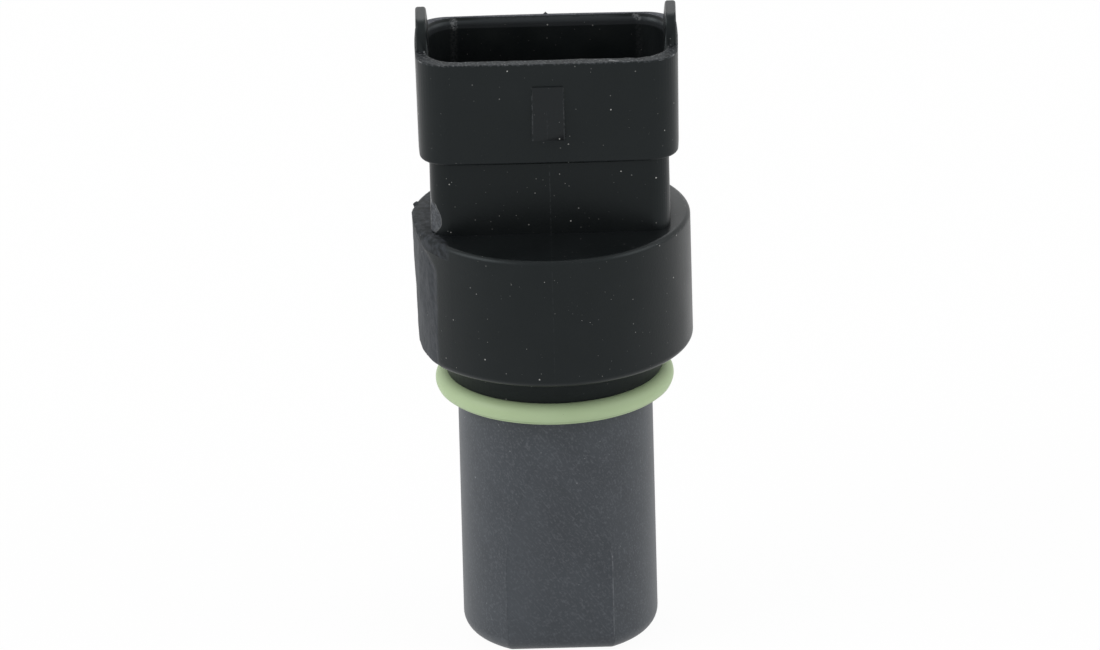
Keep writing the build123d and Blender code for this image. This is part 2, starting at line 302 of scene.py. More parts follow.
def gate_roughness(place):
    """The trimmed face on the collar, with the burr above it."""
    from_axis = math.hypot(place.x, place.y)
    if place.x > -8 or from_axis < collar_skin_r:
        return 0
    if place.z < collar_low - 0.1 or place.z > collar_top - 0.02:
        return 0
    front = scar_front_at(place.z)
    on_face = fade(place.y, front - 0.1, front + 0.7) * (1 - fade(place.y, scar_back - 0.6, scar_back))
    side = 1 - fade(place.z, collar_top - 0.9, collar_top - 0.5)
    depth = max(0, round_r(place.z) - from_axis)
    if place.y < 0:
        trimming = (1 - on_face) * depth - on_face * side * max(0, least_cut - depth)
    else:
        trimming = 0
    lip = fade(place.z, collar_top - 0.8, collar_top - 0.3) * (1 - fade(abs(place.y + 0.6), 4.0, 4.8))
    ragged = noise.noise(Vector((0.4, place.y * 1.9, 5.0)))
    burr = math.exp(-(((place.y - burr_y) / burr_width) ** 2))
    burr *= fade(place.z, collar_top - 0.4, collar_top - 0.2)
    return trimming + on_face * side * torn(place) + lip * (0.07 * ragged + burr_rise * burr)


def nick_at(z):
    """How deep the nick in the neck's corner is at a level."""
    up = fade(z, nick_z, nick_z + nick_above)
    down = fade(nick_z - z, 0.3, 0.3 + nick_below)
    return nick_depth * (1 - up) * (1 - down)


def recut_neck_corner(body):
    """Brings the neck's corner back to its round and cuts the nick into it."""
    low = Vector((-neck_half_width - 0.01, -neck_half_depth - 0.01, collar_top))
    high = Vector((-8.4, -2.6, collar_top + 5.6))
    score(body, low, high, (0.16, 0.2, 0.25))
    for vert in body.verts:
        place = vert.co / MM
        if not within_box(place, low - Vector((0, 0, 0.002)), high):
            continue
        away = place - neck_axis
        if away.x < 0 and away.y < 0:
            length = math.hypot(away.x, away.y)
            if length < neck_corner - 0.75:
                continue
            away.x *= neck_corner / length
            away.y *= neck_corner / length
        elif away.x >= 0 and -neck_corner < away.y < 0.7 - neck_corner:
            away.y = -neck_corner
        elif away.y >= 0 and -neck_corner < away.x < 0.7 - neck_corner:
            away.x = -neck_corner
        past = away.dot(scrape_facing) - (neck_corner - nick_at(place.z))
        if past > 0:
            away -= scrape_facing * past
        vert.co.x = (neck_axis.x + away.x) * MM
        vert.co.y = (neck_axis.y + away.y) * MM


def rim_flash(place):
    """Uneven flash on the front rim's outer edge and one burr at the back, where mould halves met."""
    if place.z < rim_z - 0.3 or place.z > rim_z + 0.05:
        return 0
    if place.y > shroud_half_depth - 0.3:
        burr = math.exp(-((place.x / back_burr_width) ** 2))
        return back_burr_rise * burr * fade(place.z, rim_z - 0.2, rim_z)
    if place.y > -shroud_half_depth + 3.4:
        return 0
    along = Vector((place.x * 1.1, 2.0, place.y))
    lip = noise.noise(along) + 0.5 * noise.noise(along * 3.1)
    ends = 1 - fade(place.y, -shroud_half_depth + 2.4, -shroud_half_depth + 3.3)
    return front_flash * lip * ends * fade(place.z, rim_z - 0.3, rim_z - 0.1)


def housing():
    """The overmoulded housing, with its gate trimmed off and flash on its rim."""
    body = node_copy("housing")

    # finer faces where the gate, the front rim and the back burr get their shapes
    score(body, Vector((-13.1, -8.8, collar_low + 0.03)), Vector((-9.4, 4.6, collar_top)), (0, 0.22, 0.22))
    score(body, Vector((-12.4, -6.7, rim_z - 0.3)), Vector((12.4, -3.1, rim_z + 0.02)), (0.3, 0.3, 0.1))
    score(body, Vector((-0.6, 6.2, rim_z - 0.2)), Vector((0.6, 6.6, rim_z + 0.02)), (0.1, 0.1, 0.1))

    recut_neck_corner(body)
    push(body, gate_roughness)
    push(body, rim_flash)
    made = piece("housing_moulding", body, "housing")
    shade(made, 32)
    flatten_lug(made)
    return made


def seal():
    """The sealing ring: a full round section with the fine line that its mould left."""
    body = bmesh.new()
    middle_r = ring_high.x - ring_r
    count = 56
    line_at = math.radians(-38) % (2 * math.pi)
    line_rise, line_spread = 0.02, 0.07
    rounds = []
    for number in range(count):
        angle = 2 * math.pi * number / count
        apart = abs(angle - line_at)
        radius = ring_r + line_rise * math.exp(-((apart / line_spread) ** 2))
        place = Vector((middle_r + radius * math.cos(angle), 0, ring_z + radius * math.sin(angle)))
        rounds.append(body.verts.new(place * MM))
    section = [body.edges.new((rounds[i], rounds[(i + 1) % count])) for i in range(count)]
    bmesh.ops.spin(
        body,
        geom=section,
        cent=(0, 0, 0),
        axis=(0, 0, 1),
        angle=2 * math.pi,
        steps=180,
        use_merge=True,
    )
    bmesh.ops.remove_doubles(body, verts=body.verts, dist=0.001 * MM)
    bmesh.ops.recalc_face_normals(body, faces=body.faces)
    made = piece("seal_ring", body, "o_ring")
    made.data.shade_smooth()
    return made


# Shader nodes


def feed(tree, socket, value):
    if isinstance(value, bpy.types.NodeSocket):
        tree.links.new(value, socket)
    else:
        socket.default_value = value


def add(tree, kind, settings=None, **inputs):
    """A new shader node; each input is a value or the socket that feeds it."""
    made = tree.nodes.new(kind)
    for name, value in (settings or {}).items():
        setattr(made, name, value)
    for name, value in inputs.items():
        feed(tree, made.inputs[name.replace("_", " ")], value)
    return made


def calc(tree, operation, first, second=0.0, third=0.0):
    made = tree.nodes.new("ShaderNodeMath")
    made.operation = operation
    for socket, value in zip(made.inputs, (first, second, third)):
        feed(tree, socket, value)
    return made.outputs[0]


def dot(tree, vector, direction):
    made = tree.nodes.new("ShaderNodeVectorMath")
    made.operation = "DOT_PRODUCT"
    feed(tree, made.inputs[0], vector)
    made.inputs[1].default_value = direction
    return made.outputs["Value"]


def step_up(tree, value, start, end):
    """0 before start, 1 after end, smooth between; the other way round if end is lower."""
    made = add(tree, "ShaderNodeMapRange", {"interpolation_type": "SMOOTHSTEP"}, Value=value)
    made.inputs["From Min"].default_value = start
    made.inputs["From Max"].default_value = end
    return made.outputs["Result"]


def blend(tree, share, first, second):
    """Goes from the first colour to the second."""
    made = add(tree, "ShaderNodeMix", {"data_type": "RGBA"})
    feed(tree, made.inputs[0], share)
    feed(tree, made.inputs[6], first)
    feed(tree, made.inputs[7], second)
    return made.outputs[2]


def tint(tree, colour, mask, share, other):
    """The colour, gone by a share of the mask to another one."""
    return blend(tree, calc(tree, "MULTIPLY", mask, share), colour, other)


def axes_of(tree, place):
    return add(tree, "ShaderNodeSeparateXYZ", Vector=place).outputs


def radius_at(tree, axes):
    """How far a place lies from the part's own axis."""
    square = calc(tree, "MULTIPLY_ADD", axes["X"], axes["X"], calc(tree, "MULTIPLY", axes["Y"], axes["Y"]))
    return calc(tree, "SQRT", square)


def grain(tree, place, scale, detail=2.0):
    made = add(tree, "ShaderNodeTexNoise", Vector=place, Scale=scale, Detail=detail)
    return made.outputs["Fac"]


def turned(tree, place, angles, scale):
    """The place for a texture that is turned by the angles and runs at its own scale along each axis."""
    made = add(tree, "ShaderNodeMapping", {"vector_type": "TEXTURE"}, Vector=place)
    made.inputs["Rotation"].default_value = [math.radians(angle) for angle in angles]
    made.inputs["Scale"].default_value = [1 / share for share in scale]
    return made.outputs["Vector"]


def group(name, inputs, outputs):
    """An empty shader node group with named values in and out."""
    tree = bpy.data.node_groups.new(name, "ShaderNodeTree")
    for label, kind in inputs.items():
        tree.interface.new_socket(label, in_out="INPUT", socket_type=kind)
    for label, kind in outputs.items():
        tree.interface.new_socket(label, in_out="OUTPUT", socket_type=kind)
    return tree, tree.nodes.new("NodeGroupInput").outputs, tree.nodes.new("NodeGroupOutput").inputs


def within(tree, value, low, high, soft):
    """1 between two values, with soft ends."""
    rising = step_up(tree, value, low - soft, low + soft)
    falling = step_up(tree, value, high + soft, high - soft)
    return calc(tree, "MULTIPLY", rising, falling)


def both(tree, *masks):
    """Where all of the masks are."""
    share = masks[0]
    for mask in masks[1:]:
        share = calc(tree, "MULTIPLY", share, mask)
    return share


def either(tree, *masks):
    """Where any of the masks is."""
    share = masks[0]
    for mask in masks[1:]:
        share = calc(tree, "MAXIMUM", share, mask)
    return share


def stroke(tree, place, start, end, width):
    """A short line between two places on the surface, 1 along its middle."""
    way = end - start
    offset = add(tree, "ShaderNodeVectorMath", {"operation": "SUBTRACT"})
    feed(tree, offset.inputs[0], place)
    offset.inputs[1].default_value = start
    offset = offset.outputs["Vector"]
    along = calc(tree, "DIVIDE", dot(tree, offset, way.normalized()), way.length)
    along = calc(tree, "MINIMUM", calc(tree, "MAXIMUM", along, 0.0), 1.0)
    foot = add(tree, "ShaderNodeVectorMath", {"operation": "SCALE"})
    foot.inputs[0].default_value = way
    feed(tree, foot.inputs["Scale"], along)
    apart = add(tree, "ShaderNodeVectorMath", {"operation": "DISTANCE"})
    feed(tree, apart.inputs[0], offset)
    feed(tree, apart.inputs[1], foot.outputs["Vector"])
    return step_up(tree, apart.outputs["Value"], width, 0.3 * width)


def dust_group():
    """Specks of light dust: small round grains in some of the cells of a grid with no order."""
    inputs = {
        "Place": "NodeSocketVector",
        "Cells": "NodeSocketFloat",
        "Size": "NodeSocketFloat",
        "Share": "NodeSocketFloat",
    }
    tree, given, out = group("dust specks", inputs, {"Mask": "NodeSocketFloat"})
    cells = add(tree, "ShaderNodeTexVoronoi", Vector=given["Place"], Scale=given["Cells"])
    chance = add(tree, "ShaderNodeSeparateColor", Color=cells.outputs["Color"])
    there = calc(tree, "LESS_THAN", chance.outputs["Red"], given["Share"])
    size = calc(tree, "MULTIPLY", given["Size"], calc(tree, "ADD", chance.outputs["Green"], 0.35))
    inside = calc(tree, "SUBTRACT", 1.0, calc(tree, "DIVIDE", cells.outputs["Distance"], size))
    speck = step_up(tree, inside, 0.0, 0.5)
    pale = calc(tree, "POWER", chance.outputs["Blue"], 2.2)
    pale = calc(tree, "MULTIPLY_ADD", pale, 0.88, 0.12)
    tree.links.new(both(tree, speck, there, pale), out["Mask"])
    return tree


def moulded_group():
    """The fine skin of a moulded plastic: a height for bump, and a slow mottling for colour and gloss."""
    inputs = {"Place": "NodeSocketVector", "Grain": "NodeSocketFloat"}
    outputs = {"Height": "NodeSocketFloat", "Mottle": "NodeSocketFloat"}
    tree, given, out = group("moulded skin", inputs, outputs)
    fine = grain(tree, given["Place"], given["Grain"], 3.0)
    coarse = grain(tree, given["Place"], calc(tree, "MULTIPLY", given["Grain"], 0.23), 2.0)
    tree.links.new(calc(tree, "ADD", fine, calc(tree, "MULTIPLY", coarse, 0.6)), out["Height"])
    slow = grain(tree, given["Place"], calc(tree, "MULTIPLY", given["Grain"], 0.035), 4.0)
    tree.links.new(slow, out["Mottle"])
    return tree


def use(tree, shared, **inputs):
    """Places a shared node group in a material."""
    made = tree.nodes.new("ShaderNodeGroup")
    made.node_tree = shared
    for name, value in inputs.items():
        feed(tree, made.inputs[name], value)
    return made.outputs


def material(name):
    """A new material: its tree, its main shader and the place on the piece in millimetres."""
    made = bpy.data.materials.new(name)
    made.use_nodes = True
    tree = made.node_tree
    shader = tree.nodes["Principled BSDF"]
    coordinates = add(tree, "ShaderNodeTexCoord").outputs["Object"]
    scaled = add(tree, "ShaderNodeMapping", Vector=coordinates)
    scaled.inputs["Scale"].default_value = (1 / MM, 1 / MM, 1 / MM)
    return made, tree, shader, scaled.outputs["Vector"]


def bump(tree, shader, height, strength, depth):
    """Roughens a surface by a height between 0 and 1, the depth in millimetres."""
    made = add(tree, "ShaderNodeBump", Height=height, Strength=strength, Distance=depth * MM)
    tree.links.new(made.outputs["Normal"], shader.inputs["Normal"])


def trimmed_gate(tree, place, axes, ragged):
    """Where the gate was trimmed: the collar's left face, its crown by the neck, the neck's nick, and a
    line along the nick's edge for a painted highlight.
    """
    drawn = calc(tree, "MAXIMUM", calc(tree, "SUBTRACT", axes["Z"], scar_arch_z), 0.0)
    front = calc(tree, "MULTIPLY_ADD", calc(tree, "MULTIPLY", drawn, drawn), scar_arch, scar_front)
    past_front = calc(tree, "ADD", calc(tree, "SUBTRACT", axes["Y"], front), ragged)
    face = both(
        tree,
        step_up(tree, past_front, -0.1, 0.2),
        step_up(tree, calc(tree, "ADD", axes["Y"], ragged), scar_back, scar_back - 0.4),
        step_up(tree, axes["X"], -9.0, -9.4),
        within(tree, axes["Z"], collar_low, scar_top, 0.05),
    )
    scraped = calc(tree, "ADD", dot(tree, place, scrape_facing), ragged)
    beside = calc(tree, "ADD", axes["X"], calc(tree, "MULTIPLY", ragged, 0.3))
    crown = both(
        tree,
        either(
            tree,
            step_up(tree, scraped, scrape_reach - 0.1, scrape_reach + 0.1),
            step_up(tree, beside, -neck_half_width, -neck_half_width - 0.1),
        ),
        within(tree, axes["Z"], scar_top, collar_top + 0.1, 0.05),
        step_up(tree, axes["Y"], 7.0, 6.0),
        step_up(tree, calc(tree, "ADD", axes["X"], ragged), -9.3, -9.9),
    )
    up = step_up(tree, axes["Z"], nick_z + nick_above, nick_z)
    down = step_up(tree, axes["Z"], nick_z - 0.3 - nick_below, nick_z - 0.3)
    depth = calc(tree, "MULTIPLY", both(tree, up, down), nick_depth)
    reach = scrape_facing.dot(neck_axis) + neck_corner
    past = calc(tree, "ADD", calc(tree, "SUBTRACT", dot(tree, place, scrape_facing), reach), depth)
    past = calc(tree, "MULTIPLY_ADD", ragged, 0.15, past)
    on_neck = within(tree, axes["Z"], collar_top + 0.02, collar_top + 3.5, 0.02)
    low_corner = both(
        tree,
        on_neck,
        step_up(tree, axes["Y"], -3.2, -3.6),
        step_up(tree, axes["X"], -8.6, -9.2),
        step_up(tree, depth, 0.004, 0.03),
    )
    nick = both(tree, low_corner, step_up(tree, past, -0.035, 0.0))
    # a thin line along the nick's edge, where a highlight is painted
    nick_edge_highlight = both(tree, low_corner, within(tree, past, -0.05, -0.01, 0.02))
    return face, crown, nick, nick_edge_highlight


def mouth_distance(tree, axes):
    """How far a place lies outside the edge of the socket's mouth, seen from above."""
    past = []
    for axis, middle, half in (("X", 0.0, mouth_half_width), ("Y", mouth_y, mouth_half_depth)):
        off = calc(tree, "ABSOLUTE", calc(tree, "SUBTRACT", axes[axis], middle))
        past.append(calc(tree, "MAXIMUM", calc(tree, "SUBTRACT", off, half - mouth_corner), 0.0))
    square = calc(tree, "MULTIPLY_ADD", past[1], past[1], calc(tree, "MULTIPLY", past[0], past[0]))
    return calc(tree, "SUBTRACT", calc(tree, "SQRT", square), mouth_corner)


def black_moulding(dust, moulded):
    """Glass-filled black plastic: satin skin, grey where it was trimmed, edges pale from stress-whitening,
    dust, with painted shade and painted highlights in places.
    """
    made, tree, shader, place = material("black moulding")
    skin = use(tree, moulded, Place=place, Grain=7.0)
    axes = axes_of(tree, place)
    colour = blend(tree, skin["Mottle"], (0.0040, 0.0050, 0.0054, 1), (0.0078, 0.0092, 0.0099, 1))
    middling = calc(tree, "SUBTRACT", grain(tree, place, 1.3, 3.0), 0.5)
    ragged = calc(tree, "MULTIPLY", middling, 0.5)

    # painted shade: the neck painted darker than the collar under the shroud's overhang; painted light:
    # the shoulder painted lighter where the collar shades it
    on_neck = within(tree, axes["Z"], collar_top + 0.05, shroud_low, 0.1)
    on_neck = both(tree, on_neck, step_up(tree, axes["X"], 10.6, 9.2))
    colour = tint(tree, colour, on_neck, 0.45, (0.0012, 0.0015, 0.0016, 1))
    painted_light_shoulder = step_up(tree, axes["Z"], collar_low + 0.05, collar_low - 0.1)
    colour = blend(tree, painted_light_shoulder, colour, (0.017, 0.019, 0.021, 1))

    # the trimmed gate
    face, crown, nick, nick_edge_highlight = trimmed_gate(tree, place, axes, ragged)
    streaks = grain(tree, turned(tree, place, (-28, 0, 0), (2.2, 2.2, 1.5)), 1.0, 7.0)
    streaks = step_up(tree, streaks, 0.25, 0.75)
    pitted = step_up(tree, grain(tree, place, 3.4, 5.0), 0.3, 0.7)
    trimmed = blend(tree, streaks, (0.020, 0.022, 0.026, 1), (0.038, 0.041, 0.047, 1))
    colour = blend(tree, face, colour, trimmed)
    patchy = step_up(tree, grain(tree, place, 1.6, 7.0), 0.32, 0.68)
    crowned = blend(tree, patchy, (0.001, 0.0015, 0.002, 1), (0.026, 0.0285, 0.034, 1))
    colour = blend(tree, crown, colour, crowned)
    # painted shade: a black stroke in the notch at the top of the trimmed face
    notch_shade = stroke(tree, place, notch_shade_start, notch_shade_end, 0.13)
    colour = tint(tree, colour, notch_shade, 0.8, black)
    hollow = blend(tree, pitted, (0.014, 0.016, 0.019, 1), (0.074, 0.079, 0.089, 1))
    colour = blend(tree, nick, colour, hollow)
    # painted highlight: a pale line along the nick's edge
    colour = tint(tree, colour, nick_edge_highlight, 0.6, (0.17, 0.175, 0.18, 1))
    tear = either(tree, face, crown, nick)
    torn_up = either(tree, face, calc(tree, "MULTIPLY", crown, 0.75), nick)

    # the rim, grey on its flat top and pale in flakes of stress-whitening along its outer edge
    from_mouth = mouth_distance(tree, axes)
    level = within(tree, axes["Z"], rim_z - 0.06, rim_z + 0.08, 0.03)
    rim_top = both(tree, level, step_up(tree, from_mouth, -0.02, 0.04))
    uneven = step_up(tree, grain(tree, place, 2.6, 4.0), 0.3, 0.66)
    rim_grey = blend(tree, uneven, (0.001, 0.0012, 0.0014, 1), (0.012, 0.0135, 0.016, 1))
    at_back = blend(tree, uneven, (0.030, 0.031, 0.038, 1), (0.058, 0.060, 0.072, 1))
    rim_grey = blend(tree, step_up(tree, axes["Y"], 3.0, 4.5), rim_grey, at_back)
    colour = blend(tree, rim_top, colour, rim_grey)
    crumbs = both(tree, rim_top, step_up(tree, grain(tree, place, 4.5, 3.0), 0.52, 0.68))
    colour = tint(tree, colour, crumbs, 0.6, (0.14, 0.145, 0.15, 1))
    flaking = step_up(tree, grain(tree, place, 3.2, 5.0), 0.5, 0.62)
    spilt = both(tree, within(tree, axes["Z"], rim_z - 0.14, rim_z + 0.02, 0.04), flaking)
    spilt = both(tree, spilt, step_up(tree, from_mouth, 0.5, 0.8))
    colour = tint(tree, colour, spilt, 0.6, (0.045, 0.049, 0.054, 1))
    tear = either(tree, tear, rim_top, spilt)

    # the lead-in at the back painted lighter grey, painted light where the lead-in band is lit, with a
    # dark line between it and the rim's top
    back_wall = step_up(tree, axes["Y"], 2.5, 4.0)
    lead_in_light = both(
        tree,
        back_wall,
        within(tree, from_mouth, -1.6, -0.05, 0.03),
        within(tree, axes["Z"], rim_z - 0.92, rim_z - 0.02, 0.05),
    )
    colour = blend(tree, lead_in_light, colour, (0.024, 0.0265, 0.029, 1))
    lead_edge = both(
        tree,
        step_up(tree, from_mouth, 0.06, 0.0),
        step_up(tree, axes["Y"], 1.5, 2.5),
        step_up(tree, calc(tree, "ABSOLUTE", axes["X"]), 5.0, 7.5),
        within(tree, axes["Z"], rim_z - 0.24, rim_z + 0.1, 0.04),
    )
    broken_edge = both(tree, lead_in_light, step_up(tree, axes["Z"], rim_z - 0.2, rim_z - 0.14), flaking)
    lead_edge = either(tree, lead_edge, calc(tree, "MULTIPLY", broken_edge, 0.7))
    colour = blend(tree, lead_edge, colour, black)

    # pale marks on the rim and on the neck's corner, and painted highlights in the socket's corners
    for start, end, width, share in pale_marks_and_glints:
        mark = stroke(tree, place, start, end, width)
        mark = both(tree, mark, step_up(tree, grain(tree, place, 5.0, 3.0), 0.36, 0.6))
        colour = tint(tree, colour, mark, share, pale_wear_and_glint)

    # pale lines on the catch's edges and step, the collar's foot and the seam between the mould halves:
    # those along the catch's edges and the collar's foot are painted highlights, and the catch's face is
    # painted lighter as painted light
    catch_rows = within(tree, axes["Z"], catch_low, catch_top, 0.1)
    on_front = step_up(tree, axes["Y"], -shroud_half_depth + 0.25, -shroud_half_depth + 0.05)
    off_side = calc(tree, "SUBTRACT", calc(tree, "ABSOLUTE", axes["X"]), catch_half_width)
    proud = step_up(tree, axes["Y"], -shroud_half_depth - 0.01, -shroud_half_depth - 0.08)
    # painted light: the catch's face painted lighter, as its ramp faces up
    catch_face_light = both(tree, catch_rows, proud, step_up(tree, off_side, 0.02, -0.04))
    colour = tint(tree, colour, catch_face_light, 0.6, (0.011, 0.0112, 0.0125, 1))
    catch_edge_highlight = both(tree, catch_rows, on_front, within(tree, off_side, -0.08, 0.05, 0.03))
    step_rows = within(tree, axes["Z"], catch_low, catch_step_top, 0.1)
    step_line = within(tree, axes["X"], catch_step_x - 0.03, catch_step_x + 0.03, 0.03)
    catch_step = both(tree, step_rows, on_front, step_line)
    in_front = step_up(tree, axes["Y"], -3.0, -3.5)
    on_middle = both(tree, in_front, within(tree, axes["X"], -0.05, 0.05, 0.04))
    seam_rows = within(tree, axes["Z"], collar_top, shroud_low, 0.1)
    low_seam = calc(tree, "MULTIPLY", within(tree, axes["Z"], collar_low, collar_top, 0.1), 0.35)
    seam = both(tree, calc(tree, "ADD", seam_rows, low_seam), on_middle)
    foot_rows = within(tree, axes["Z"], collar_low, collar_low + 0.09, 0.03)
    foot_ring = within(tree, radius_at(tree, axes), collar_r - 0.75, collar_r - 0.45, 0.05)
    collar_foot_highlight = both(tree, foot_rows, foot_ring)
    faint = calc(tree, "MULTIPLY", either(tree, catch_step, seam), 0.3)
    thin = either(tree, calc(tree, "MULTIPLY", catch_edge_highlight, 0.6), faint, collar_foot_highlight)
    broken = step_up(tree, grain(tree, place, 2.6, 4.0), 0.38, 0.66)
    colour = blend(tree, both(tree, thin, broken), colour, (0.06, 0.064, 0.068, 1))

    specks = use(tree, dust, Place=place, Cells=1.25, Size=0.085, Share=0.55)["Mask"]
    fine = use(tree, dust, Place=place, Cells=2.3, Size=0.08, Share=0.42)["Mask"]
    dusty = either(tree, specks, calc(tree, "MULTIPLY", fine, 0.75))
    colour = blend(tree, dusty, colour, dust_colour)
    tree.links.new(colour, shader.inputs["Base Color"])
    rough = calc(tree, "MULTIPLY_ADD", skin["Mottle"], 0.14, 0.30)
    worn = calc(tree, "MULTIPLY", either(tree, tear, dusty), 0.25)
    tree.links.new(calc(tree, "ADD", rough, worn), shader.inputs["Roughness"])
    shader.inputs["Specular IOR Level"].default_value = 0.22
    shader.inputs["Specular Tint"].default_value = (0.87, 0.98, 1.0, 1)
    height = calc(tree, "MULTIPLY_ADD", calc(tree, "MULTIPLY", torn_up, streaks), 1.6, skin["Height"])
    bump(tree, shader, height, 0.3, 0.03)
    return made


def grey_moulding(dust, moulded):
    """The cap's dark grey plastic, dull, with fine slanting scuffs."""
    made, tree, shader, place = material("grey moulding")
    skin = use(tree, moulded, Place=place, Grain=6.0)
    slanted = turned(tree, place, (0, -35, 0), (6.0, 6.0, 1.3))
    scuffs = grain(tree, slanted, 1.0, 3.0)
    colour = blend(tree, skin["Mottle"], (0.036, 0.042, 0.050, 1), (0.051, 0.059, 0.069, 1))
    broad = grain(tree, turned(tree, place, (0, -40, 0), (0.55, 0.55, 0.16)), 1.0, 3.0)
    bands = step_up(tree, broad, 0.42, 0.7)
    colour = tint(tree, colour, bands, 0.4, (0.032, 0.037, 0.044, 1))
    speckled = step_up(tree, grain(tree, place, 4.6, 2.0), 0.5, 0.76)
    colour = tint(tree, colour, speckled, 0.42, (0.11, 0.12, 0.135, 1))
    pale = step_up(tree, scuffs, 0.5, 0.8)
    colour = tint(tree, colour, pale, 0.42, (0.12, 0.13, 0.145, 1))
    axes = axes_of(tree, place)
    # painted light: the left front of the probe painted lighter, where the left lamp falls stronger
    painted_light_left_side = both(
        tree,
        step_up(tree, radius_at(tree, axes), probe_r - 0.01, probe_r - 0.06),
        step_up(tree, axes["X"], 0.5, -4.5),
        step_up(tree, axes["Y"], -4.0, -6.0),
    )
    colour = tint(tree, colour, painted_light_left_side, 0.3, (0.085, 0.096, 0.11, 1))
    for start, end, share in zip(flat_edge, flat_edge[1:], flat_edge_shares):
        line = stroke(tree, place, start, end, 0.1)
        line = both(tree, line, step_up(tree, grain(tree, place, 2.0, 4.0), 0.3, 0.6))
        colour = tint(tree, colour, line, share, (0.3, 0.31, 0.33, 1))
    specks = use(tree, dust, Place=place, Cells=1.3, Size=0.1, Share=0.4)["Mask"]
    colour = tint(tree, colour, specks, 0.6, (0.4, 0.41, 0.42, 1))
    tree.links.new(colour, shader.inputs["Base Color"])
    tree.links.new(calc(tree, "MULTIPLY_ADD", scuffs, 0.12, 0.4), shader.inputs["Roughness"])
    shader.inputs["Specular IOR Level"].default_value = 0.35
    height = calc(tree, "ADD", skin["Height"], calc(tree, "MULTIPLY", scuffs, 0.4))
    bump(tree, shader, height, 0.25, 0.03)
    return made


def green_rubber(dust, moulded):
    """Pale green seal rubber, satin, a little dusty."""
    made, tree, shader, place = material("green rubber")
    skin = use(tree, moulded, Place=place, Grain=5.0)
    colour = blend(tree, skin["Mottle"], (0.37, 0.475, 0.265, 1), (0.45, 0.57, 0.35, 1))
    height = axes_of(tree, place)["Z"]
    line = within(tree, height, ring_z - 0.62, ring_z - 0.56, 0.03)
    colour = tint(tree, colour, line, 0.45, (0.12, 0.17, 0.08, 1))
    specks = use(tree, dust, Place=place, Cells=1.5, Size=0.1, Share=0.3)["Mask"]
    colour = tint(tree, colour, specks, 0.6, (0.12, 0.16, 0.1, 1))
    tree.links.new(colour, shader.inputs["Base Color"])
    tree.links.new(calc(tree, "MULTIPLY_ADD", skin["Mottle"], 0.2, 0.4), shader.inputs["Roughness"])
    shader.inputs["Specular IOR Level"].default_value = 0.3
    bump(tree, shader, skin["Height"], 0.15, 0.02)
    return made


def plated_metal(name, dull, bright, roughness, moulded, turning=False):
    """A plated metal, with the fine marks of its making."""
    made, tree, shader, place = material(name)
    skin = use(tree, moulded, Place=place, Grain=4.0)
    scale = (0.4, 0.4, 14.0) if turning else (9.0, 9.0, 0.6)
    marks = grain(tree, turned(tree, place, (0, 0, 0), scale), 1.0, 3.0)
    tree.links.new(blend(tree, skin["Mottle"], dull, bright), shader.inputs["Base Color"])
    shader.inputs["Metallic"].default_value = 1.0
    tree.links.new(calc(tree, "MULTIPLY_ADD", marks, 0.25, roughness), shader.inputs["Roughness"])
    bump(tree, shader, marks, 0.25, 0.02)
    return made


def plain_moulding(name, dark, light, roughness, moulded):
    """A small moulded or cast piece inside the probe."""
    made, tree, shader, place = material(name)
    skin = use(tree, moulded, Place=place, Grain=8.0)
    tree.links.new(blend(tree, skin["Mottle"], dark, light), shader.inputs["Base Color"])
    tree.links.new(calc(tree, "MULTIPLY_ADD", skin["Mottle"], 0.2, roughness), shader.inputs["Roughness"])
    bump(tree, shader, skin["Height"], 0.25, 0.02)
    return made


def dress(made, finish):
    made.data.materials.clear()
    made.data.materials.append(finish)


def finishes():
    """The material of each of the record's slots."""
    dust, moulded = dust_group(), moulded_group()
    return {
        "black_moulding": black_moulding(dust, moulded),
        "grey_moulding": grey_moulding(dust, moulded),
        "green_rubber": green_rubber(dust, moulded),
        "bush_steel": plated_metal(
            "zinc plated steel", (0.48, 0.47, 0.43, 1), (0.62, 0.61, 0.57, 1), 0.26, moulded, turning=True
        ),
        "tinned_brass": plated_metal(
            "tinned brass", (0.56, 0.55, 0.5, 1), (0.72, 0.7, 0.64, 1), 0.22, moulded
        ),
        "lead_metal": plated_metal(
            "tinned lead", (0.6, 0.6, 0.58, 1), (0.74, 0.74, 0.72, 1), 0.2, moulded
        ),
        "magnet_metal": plated_metal(
            "nickel plating", (0.5, 0.5, 0.48, 1), (0.62, 0.61, 0.58, 1), 0.18, moulded
        ),
        "carrier_plastic": plain_moulding(
            "carrier plastic", (0.02, 0.021, 0.023, 1), (0.035, 0.036, 0.038, 1), 0.45, moulded
        ),
        "chip_epoxy": plain_moulding(
            "chip epoxy", (0.012, 0.012, 0.013, 1), (0.022, 0.022, 0.024, 1), 0.5, moulded
        ),
        "capacitor_body": plain_moulding(
            "capacitor ceramic", (0.3, 0.21, 0.13, 1), (0.38, 0.28, 0.18, 1), 0.3, moulded
        ),
        "potting_resin": plain_moulding(
            "potting resin", (0.012, 0.011, 0.01, 1), (0.022, 0.02, 0.018, 1), 0.12, moulded
        ),
    }


# The studio


def look_at(place, target, roll=0.0):
    """Turns something at a place to face a target, as a lamp or a camera does."""
    turn = (target - place).to_track_quat("-Z", "Y").to_matrix().to_4x4()
    return Matrix.Translation(place) @ turn @ Matrix.Rotation(roll, 4, "Z")


def camera():
    made = bpy.data.cameras.new("camera")
    made.sensor_width = 36
    made.lens = made.sensor_width * MM * camera_distance / (photo_width / photo_scale * MM) / MM
    made.clip_start, made.clip_end = 0.05, 20
    back = Vector((0, -math.cos(camera_elevation), math.sin(camera_elevation)))
    stand = bpy.data.objects.new("camera", made)
    stand.matrix_world = look_at(camera_target + back * camera_distance, camera_target, camera_roll)
    bpy.context.scene.collection.objects.link(stand)
    bpy.context.scene.camera = stand


